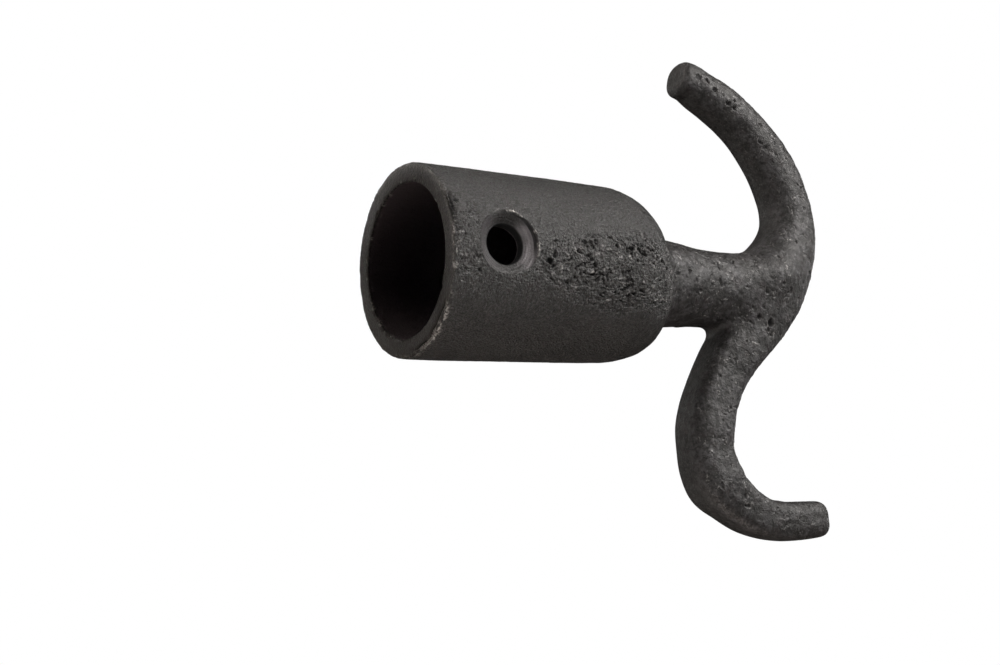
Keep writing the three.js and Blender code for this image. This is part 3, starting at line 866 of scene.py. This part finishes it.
def iron_material():
    n = Nodes("satin_black_cast_iron")
    xyz = n.t.nodes.new("ShaderNodeTexCoord").outputs["Object"]
    pit, coarse, band, wear = n.mark("pit"), n.mark("coarse"), n.mark("band"), n.mark("wear")
    machined, bore, brim, sink, lump = n.mark("machined"), n.mark("bore"), n.mark("brim"), n.mark("sink"), n.mark("lump")

    slow = n.noise(xyz, 140.0, 3.0, 0.6)
    mottle = n.noise(xyz, 900.0, 3.0, 0.6)
    speck = n.noise(xyz, 3600.0, 2.0, 0.6)

    base = n.mix(n.range(slow, 0.3, 0.7), grey(0.008, 0.04), grey(0.013, 0.05))
    base = n.mix(n.range(mottle, 0.4, 0.75, 0.0, 0.8), base, grey(0.022, 0.03))
    base = n.mix(n.range(speck, 0.54, 0.72, 0.0, 0.6), base, grey(0.062, 0.03))
    # A breath of rust brown in patches, and a painted highlight on the tops of the arms' lumps.
    rust = n.noise(xyz, 620.0, 3.0, 0.65)
    base = n.mix(n.range(rust, 0.5, 0.72, 0.0, 0.4), base, (0.030, 0.022, 0.023, 1))
    lumpy = n.math("MULTIPLY", lump, n.range(n.noise(xyz, 1500.0, 2.0, 0.6), 0.38, 0.62), True)
    base = n.mix(n.math("MULTIPLY", lumpy, 0.7), base, (0.048, 0.045, 0.049, 1))
    base = n.mix(n.range(machined, 0.2, 0.9, 0.0, 0.8), base, grey(0.048, 0.06))
    # The sinks: dark paint, lightened by the drill rings and by the painted highlight towards the shoulder.
    base = n.mix(sink, base, n.mix(n.mark("drill_rings_and_highlight"), grey(0.010, 0.05), (0.175, 0.163, 0.172, 1)))
    # Painted shade: pits, crevices, hollows, the crack and the gouge are darkened nearly to black.
    base = n.mix(n.range(pit, 0.05, 0.9, 0.0, 0.85), base, grey(0.004, -0.1))
    # Painted highlight: the brims of the pits and the proud grain tops are lighter.
    base = n.mix(n.math("MULTIPLY", brim, n.range(mottle, 0.35, 0.6, 0.1, 0.6), True), base, (0.062, 0.058, 0.060, 1))
    base = n.mix(n.range(bore, 0.1, 0.9, 0.0, 0.95), base, (0.080, 0.068, 0.075, 1))
    # Painted glints: small bright metallic points where the coarse skin stands proud, along the brims of its pits.
    proud = n.noise(xyz, 2100.0, 2.0, 0.5)
    painted_glints = n.math("MULTIPLY", n.range(proud, 0.48, 0.58), brim)
    painted_glints = n.math("MULTIPLY", painted_glints, n.range(pit, 0.5, 0.1), True)
    base = n.mix(n.math("MULTIPLY", painted_glints, 0.85), base, grey(0.27, 0.03))
    worn = n.math("MULTIPLY", wear, n.range(speck, 0.35, 0.6), True)
    base = n.mix(worn, base, grey(0.46, 0.05))

    rough = n.blend(n.range(mottle, 0.3, 0.7), 0.38, 0.48)
    rough = n.math("ADD", rough, n.math("MULTIPLY", n.mark("arm"), 0.07))
    rough = n.blend(machined, rough, 0.42)
    rough = n.blend(n.range(pit, 0.1, 0.8), rough, 0.7)
    wall = n.mark("wall")
    base = n.mix(wall, base, grey(0.014, -0.03))
    rough = n.blend(n.math("MAXIMUM", bore, wall), rough, 0.8)
    rough = n.blend(n.math("MAXIMUM", worn, painted_glints), rough, 0.32)

    fine = n.noise(xyz, 3300.0, 2.0, 0.6)
    grain = n.noise(xyz, 1500.0, 1.0, 0.5)
    dust = n.noise(xyz, 6000.0, 1.0, 0.5)
    height = n.math("ADD", n.math("MULTIPLY", fine, 0.85), n.math("MULTIPLY", grain, 0.5))
    height = n.math("ADD", height, n.math("MULTIPLY", dust, 0.35))
    amount = n.blend(machined, n.blend(coarse, 1.0, 1.3), 0.6)
    amount = n.math("MULTIPLY", amount, n.blend(n.mark("arm"), 1.0, 0.28))
    normal = n.bump(n.math("MULTIPLY", height, amount), 1.0, 0.00025)

    shader = n.node(
        "ShaderNodeBsdfPrincipled",
        Base_Color=base,
        Roughness=rough,
        Metallic=n.math("MULTIPLY", n.math("MAXIMUM", worn, n.math("MULTIPLY", painted_glints, 0.5)), 0.8, True),
        Normal=normal,
    )
    shader.inputs["IOR"].default_value = 1.5
    sparkle = n.math("ADD", n.range(fine, 0.3, 0.7, 0.0, 0.34), n.range(speck, 0.45, 0.75, 0.0, 0.3))
    sparkle = n.math("ADD", n.math("MULTIPLY", sparkle, amount), n.math("MULTIPLY", lumpy, 0.25))
    dull = n.math("MAXIMUM", n.math("MAXIMUM", bore, wall), n.range(pit, 0.2, 0.9, 0.0, 0.85))
    # The arms shine in patches about a millimetre across.
    patchy = n.range(n.noise(xyz, 1150.0, 2.0, 0.55), 0.36, 0.66, 0.18, 0.33)
    shine = n.blend(n.mark("arm"), n.math("ADD", sparkle, 0.25), n.math("ADD", n.math("MULTIPLY", sparkle, 0.6), patchy))
    shine = n.blend(dull, shine, 0.12)
    n.set(shader.inputs["Specular IOR Level"], shine)
    n.t.links.new(shader.outputs[0], n.out.inputs["Surface"])
    return n.m


def screw_material():
    n = Nodes("blackened_steel")
    xyz = n.t.nodes.new("ShaderNodeTexCoord").outputs["Object"]
    wear, slot, thread = n.mark("wear"), n.mark("slot"), n.mark("thread")
    mottle = n.noise(xyz, 1300.0, 4.0, 0.6)
    fine = n.noise(xyz, 5200.0, 2.0, 0.6)
    base = n.mix(n.range(mottle, 0.3, 0.7), grey(0.045, 0.02), grey(0.085, 0.03))
    base = n.mix(n.math("MULTIPLY", slot, 0.7), base, grey(0.02))
    base = n.mix(n.math("MULTIPLY", thread, 0.45), base, grey(0.22, 0.03))
    worn = n.math("MULTIPLY", wear, n.range(fine, 0.3, 0.6), True)
    base = n.mix(worn, base, grey(0.42, 0.03))
    rough = n.blend(n.range(mottle, 0.3, 0.7), 0.36, 0.52)
    rough = n.blend(worn, rough, 0.26)
    # Faint turned rings on the head.
    split = n.node("ShaderNodeSeparateXYZ", Vector=xyz)
    dx = n.math("SUBTRACT", split.outputs[0], SCREW_X / 1000.0)
    dz = n.math("SUBTRACT", split.outputs[2], (SCREW_Z + MOUTH_Z) / 1000.0)
    radius = n.math("SQRT", n.math("ADD", n.math("MULTIPLY", dx, dx), n.math("MULTIPLY", dz, dz)))
    rings = n.math("SINE", n.math("MULTIPLY", radius, 2 * math.pi / 0.00022))
    height = n.math("ADD", n.math("MULTIPLY", rings, 0.12), fine)
    normal = n.bump(height, 0.7, 0.00002)
    shader = n.node("ShaderNodeBsdfPrincipled", Base_Color=base, Roughness=rough, Metallic=0.85, Normal=normal)
    n.t.links.new(shader.outputs[0], n.out.inputs["Surface"])
    return n.m


hook.data.materials.append(iron_material())
screw_piece.data.materials.append(screw_material())
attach(hook, "hook")
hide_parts("hook_casting")
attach(screw_piece, "screw")
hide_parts("fixing_screw")

# ---- stage, light and camera ------------------------------------------------------------------------------

scene = bpy.context.scene
scene.view_settings.view_transform = "Standard"
scene.view_settings.look = "None"

# The hook stands on its mouth. The photograph's viewpoint is below that level, so the floor is clear when
# it is seen from underneath.
floor_mesh = bpy.data.meshes.new("pale_floor")
half, level = 1.6, cast_lo.z - 0.0004
floor_mesh.from_pydata([(-half, -half, level), (half, -half, level), (half, half, level), (-half, half, level)], [], [(0, 1, 2, 3)])
floor = bpy.data.objects.new("pale_floor", floor_mesh)
scene.collection.objects.link(floor)
f = Nodes("pale_floor")
pale = f.node("ShaderNodeBsdfPrincipled", Base_Color=grey(0.78, 0.01), Roughness=0.85)
pale.inputs["Specular IOR Level"].default_value = 0.1
# Far from the hook the camera sees it fade into the pale backdrop.
spot = f.t.nodes.new("ShaderNodeTexCoord").outputs["Object"]
apart = f.node("ShaderNodeVectorMath", Vector=spot)
apart.operation = "LENGTH"
seen_far = f.math("MULTIPLY", f.range(apart.outputs["Value"], 0.08, 0.65), f.t.nodes.new("ShaderNodeLightPath").outputs["Is Camera Ray"])
haze = f.node("ShaderNodeEmission", Color=grey(1.0))
ground = f.node("ShaderNodeMixShader", Fac=seen_far)
f.t.links.new(pale.outputs[0], ground.inputs[1])
f.t.links.new(haze.outputs[0], ground.inputs[2])
clear = f.node("ShaderNodeBsdfTransparent")
back = f.t.nodes.new("ShaderNodeNewGeometry").outputs["Backfacing"]
shadow = f.t.nodes.new("ShaderNodeLightPath").outputs["Is Shadow Ray"]
one_way = f.node("ShaderNodeMixShader", Fac=f.math("MAXIMUM", back, shadow))
f.t.links.new(ground.outputs[0], one_way.inputs[1])
f.t.links.new(clear.outputs[0], one_way.inputs[2])
f.t.links.new(one_way.outputs[0], f.out.inputs["Surface"])
floor_mesh.materials.append(f.m)

world = bpy.data.worlds.new("studio")
scene.world = world
world.use_nodes = True
wt = world.node_tree
wt.nodes.clear()
w_out = wt.nodes.new("ShaderNodeOutputWorld")
seen = wt.nodes.new("ShaderNodeBackground")
seen.inputs["Color"].default_value = (1, 1, 1, 1)
seen.inputs["Strength"].default_value = 1.0
dome = wt.nodes.new("ShaderNodeBackground")
dome.inputs["Color"].default_value = (1.0, 0.985, 0.96, 1)
dome.inputs["Strength"].default_value = 0.03
path = wt.nodes.new("ShaderNodeLightPath")
pick = wt.nodes.new("ShaderNodeMixShader")
wt.links.new(path.outputs["Is Camera Ray"], pick.inputs[0])
wt.links.new(dome.outputs[0], pick.inputs[1])
wt.links.new(seen.outputs[0], pick.inputs[2])
wt.links.new(pick.outputs[0], w_out.inputs["Surface"])


# Camera at the photograph's viewpoint: the picture's right, down and forward directions.
RIGHT = Vector((0.064959, -0.529985, 0.845515))
DOWN = Vector((0.980436, 0.191669, 0.044816))
FORWARD = Vector((-0.185811, 0.826062, 0.532067))
EYE = Vector((0.055609, -0.204073, -0.116211 + MOUTH_Z / 1000.0))
cam_data = bpy.data.cameras.new("view")
cam_data.sensor_fit = "HORIZONTAL"
cam_data.sensor_width = 36.0
cam_data.lens = 61.2
cam_data.clip_start = 0.01
camera = bpy.data.objects.new("view", cam_data)
turn = Matrix((RIGHT, -DOWN, -FORWARD)).transposed().to_4x4()
camera.matrix_world = Matrix.Translation(EYE) @ turn
scene.collection.objects.link(camera)
scene.camera = camera


def soft_light(name, power, right, up, near, tint=(1.0, 0.98, 0.95), size=0.42, far=0.7):
    """A round soft light on the picture's right, up and near sides of the hook, facing it."""
    data = bpy.data.lights.new(name, "AREA")
    data.shape = "DISK"
    data.size = size
    data.energy = power
    data.color = tint
    data.cycles.use_multiple_importance_sampling = False
    lamp = bpy.data.objects.new(name, data)
    away = (RIGHT * right - DOWN * up - FORWARD * near).normalized()
    middle = Vector((0.0, 0.0, 0.012))
    lamp.location = middle + away * far
    lamp.rotation_euler = (-away).to_track_quat("-Z", "Y").to_euler()
    scene.collection.objects.link(lamp)
    return lamp


soft_light("key", 4.2, 0.7, 0.7, 0.1, (1.0, 0.96, 0.925))
soft_light("side", 2.7, 0.9, 0.4, 0.1, (1.0, 0.985, 0.96))
soft_light("edge_top", 0.33, 0.0, 0.8, -0.6)
soft_light("edge_side", 0.45, 0.8, 0.0, -0.6)
soft_light("edge_left", 0.28, -0.8, 0.2, -0.6)
soft_light("fill_left", 0.95, -0.7, 0.7, 0.1, (1.0, 0.88, 0.80))
soft_light("fill_low_left", 0.4, -0.7, -0.7, 0.1, (1.0, 0.86, 0.76))
soft_light("fill_low_right", 0.25, 0.7, -0.7, 0.1, (1.0, 0.93, 0.88))
soft_light("fill_below", 1.2, 0.0, -1.0, 0.1, (1.0, 0.87, 0.78))
soft_light("fill_near", 0.25, 0.0, -0.7, 0.7, (1.0, 0.9, 0.83))


def plain(bounds):
    return [[float(v) for v in corner] for corner in bounds]
